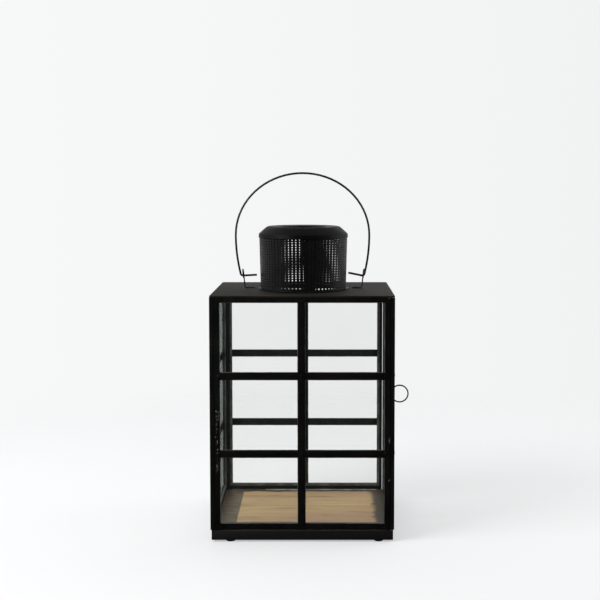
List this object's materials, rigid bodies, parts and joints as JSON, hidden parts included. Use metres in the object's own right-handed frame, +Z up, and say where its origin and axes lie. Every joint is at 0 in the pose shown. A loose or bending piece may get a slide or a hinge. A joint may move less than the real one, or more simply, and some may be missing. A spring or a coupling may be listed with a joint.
{
  "type": "hurricane candle lantern",
  "caption": "Rectangular glazed metal candle lantern with a wooden base, hinged glazed side door with ring pull, pierced round chimney and swinging wire bail.",
  "frame": {"origin": "middle of the base, on the plane that the feet stand on; the base's underside is 2.5 mm above it", "axes": "+Z up, -Y to the front, +X to the hinged door with the ring pull"},
  "size_m": [0.2844, 0.19, 0.5038],
  "materials": {
    "case_paint": "satin black, hand brushed, worn",
    "roof_paint": "satin brown-black, streaked",
    "chimney_paint": "satin black",
    "wire": "black wire",
    "steel": "plain steel",
    "board": "bare wood with painted edges",
    "pane": "clear sheet glass",
    "sealant": "cloudy clear sealant",
    "pad": "matt black"
  },
  "bodies": {
    "case": {"base_board": "board", "foot_front_left": "pad", "foot_front_right": "pad", "foot_rear_left": "pad", "foot_rear_right": "pad", "nail_front_left": "steel", "nail_front_right": "steel", "nail_rear_left": "steel", "nail_rear_right": "steel", "nail_left_front": "steel", "nail_left_rear": "steel", "door_stop": "steel", "door_washer": "steel", "front_frame": "case_paint", "front_muntins": "case_paint", "front_glass": "pane", "front_seal": "sealant", "rear_frame": "case_paint", "rear_muntins": "case_paint", "rear_glass": "pane", "rear_seal": "sealant", "left_frame": "case_paint", "left_muntins": "case_paint", "left_glass": "pane", "left_seal": "sealant", "roof_plate": "roof_paint", "chimney_collar": "chimney_paint", "chimney_drum": "chimney_paint", "chimney_cap": "chimney_paint", "bail_eye_left": "wire", "bail_eye_right": "wire"},
    "door": {"door_frame": "case_paint", "door_muntins": "case_paint", "door_glass": "pane", "door_seal": "sealant", "door_pin_lower": "steel", "door_pin_upper": "steel", "ring_eye": "wire"},
    "ring": {"ring_pull": "wire"},
    "bail": {"bail_handle": "wire"}
  },
  "joints": [
    {"name": "door_hinge", "type": "hinge", "parent": "case", "child": "door", "pos_m": [0.12225, -0.0929, 0.0175], "axis": [0, 0, -1], "range_deg": [0, 170]},
    {"name": "ring_swing", "type": "hinge", "parent": "door", "child": "ring", "pos_m": [0.1341, 0.09, 0.1722], "axis": [0, 0, 1], "range_deg": [-85, 85]},
    {"name": "bail_swing", "type": "hinge", "parent": "case", "child": "bail", "pos_m": [-0.0011, 0, 0.356], "axis": [1, 0, 0], "range_deg": [-97, 97]}
  ]
}
